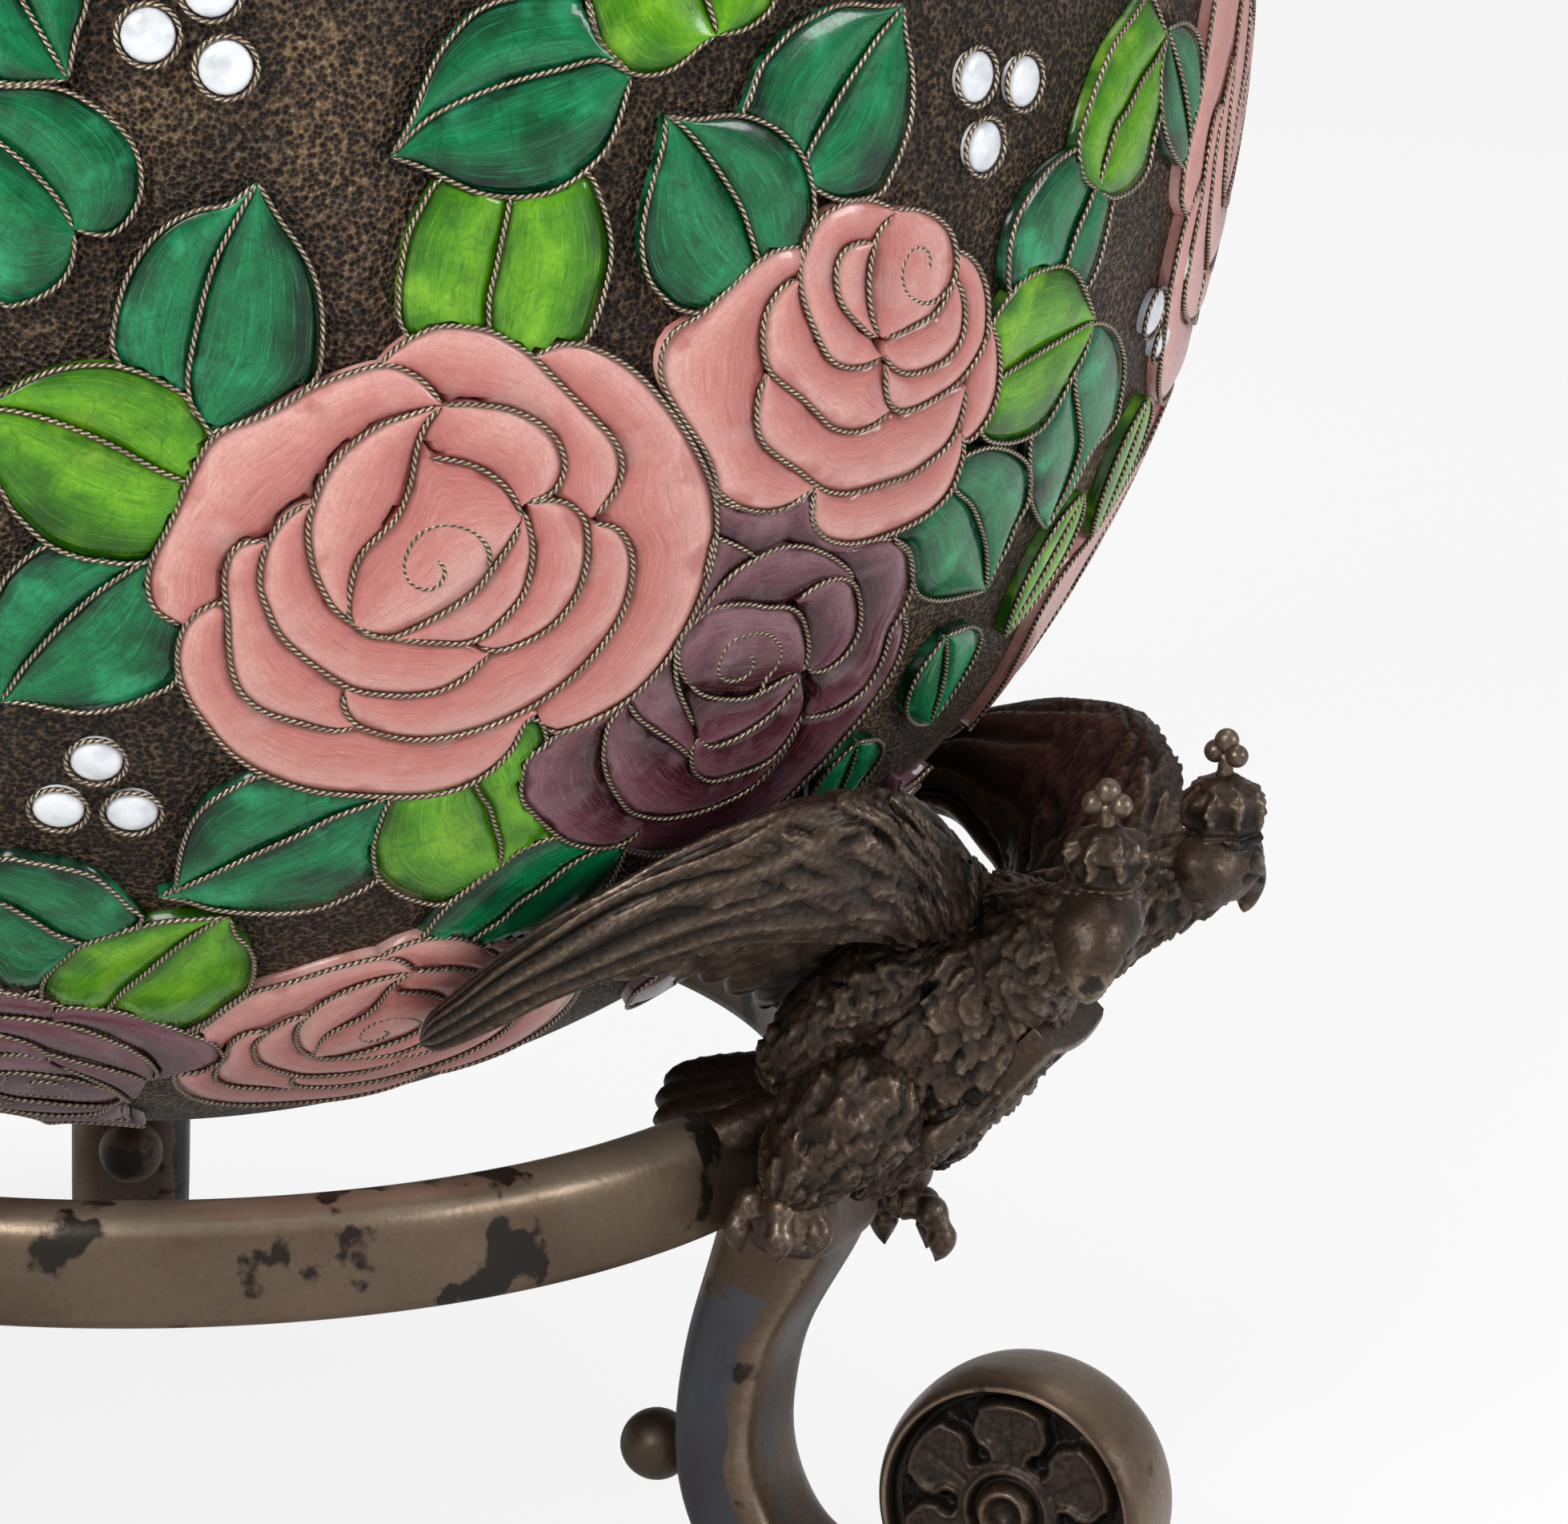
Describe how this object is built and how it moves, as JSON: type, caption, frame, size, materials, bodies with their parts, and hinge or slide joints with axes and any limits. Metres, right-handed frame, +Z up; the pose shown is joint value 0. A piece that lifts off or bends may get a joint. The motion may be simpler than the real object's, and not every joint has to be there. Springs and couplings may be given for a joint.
{
  "type": "decorative egg on stand",
  "caption": "Enamelled metal egg with a lift-off lid, cradled in the wings of crowned eagles that stand on a ring with scroll legs.",
  "frame": {"origin": "on the shelf under the feet, on the egg's upright axis", "axes": "+Z up along the egg's axis; legs stand at azimuths -30, 90 and 210 degrees from +X"},
  "size_m": [0.113, 0.1168, 0.1754],
  "materials": {
    "stand_bronze": "dark patina",
    "egg_ground": "oxidised, pitted",
    "gilt_metal": "gilt",
    "pink_enamel": "glossy",
    "purple_enamel": "glossy",
    "dark_green_enamel": "glossy",
    "light_green_enamel": "glossy",
    "white_enamel": "glossy"
  },
  "bodies": {
    "stand": {"ring": "stand_bronze", "right_leg": "stand_bronze", "right_leg_bead": "stand_bronze", "right_leg_rosettes": "stand_bronze", "right_eagle": "stand_bronze", "right_eagle_left_wing": "stand_bronze", "right_eagle_right_wing": "stand_bronze", "right_eagle_shield": "stand_bronze", "back_leg": "stand_bronze", "back_leg_bead": "stand_bronze", "back_leg_rosettes": "stand_bronze", "back_eagle": "stand_bronze", "back_eagle_left_wing": "stand_bronze", "back_eagle_right_wing": "stand_bronze", "back_eagle_shield": "stand_bronze", "left_leg": "stand_bronze", "left_leg_bead": "stand_bronze", "left_leg_rosettes": "stand_bronze", "left_eagle": "stand_bronze", "left_eagle_left_wing": "stand_bronze", "left_eagle_right_wing": "stand_bronze", "left_eagle_shield": "stand_bronze"},
    "egg": {"lower_shell": "egg_ground", "gilt_collar": "gilt_metal", "lower_pink_roses": "pink_enamel", "lower_purple_roses": "purple_enamel", "lower_dark_leaves": "dark_green_enamel", "lower_light_leaves": "light_green_enamel", "lower_white_dots": "white_enamel"},
    "lid": {"lid_shell": "egg_ground", "lid_pink_roses": "pink_enamel", "lid_purple_roses": "purple_enamel", "lid_dark_leaves": "dark_green_enamel", "lid_light_leaves": "light_green_enamel", "lid_white_dots": "white_enamel"}
  },
  "joints": [
    {"name": "egg_lift", "type": "slide", "parent": "stand", "child": "egg", "axis": [0, 0, 1], "range_m": [0, 0.035]},
    {"name": "lid_lift", "type": "slide", "parent": "egg", "child": "lid", "axis": [0, 0, 1], "range_m": [0, 0.02]}
  ]
}
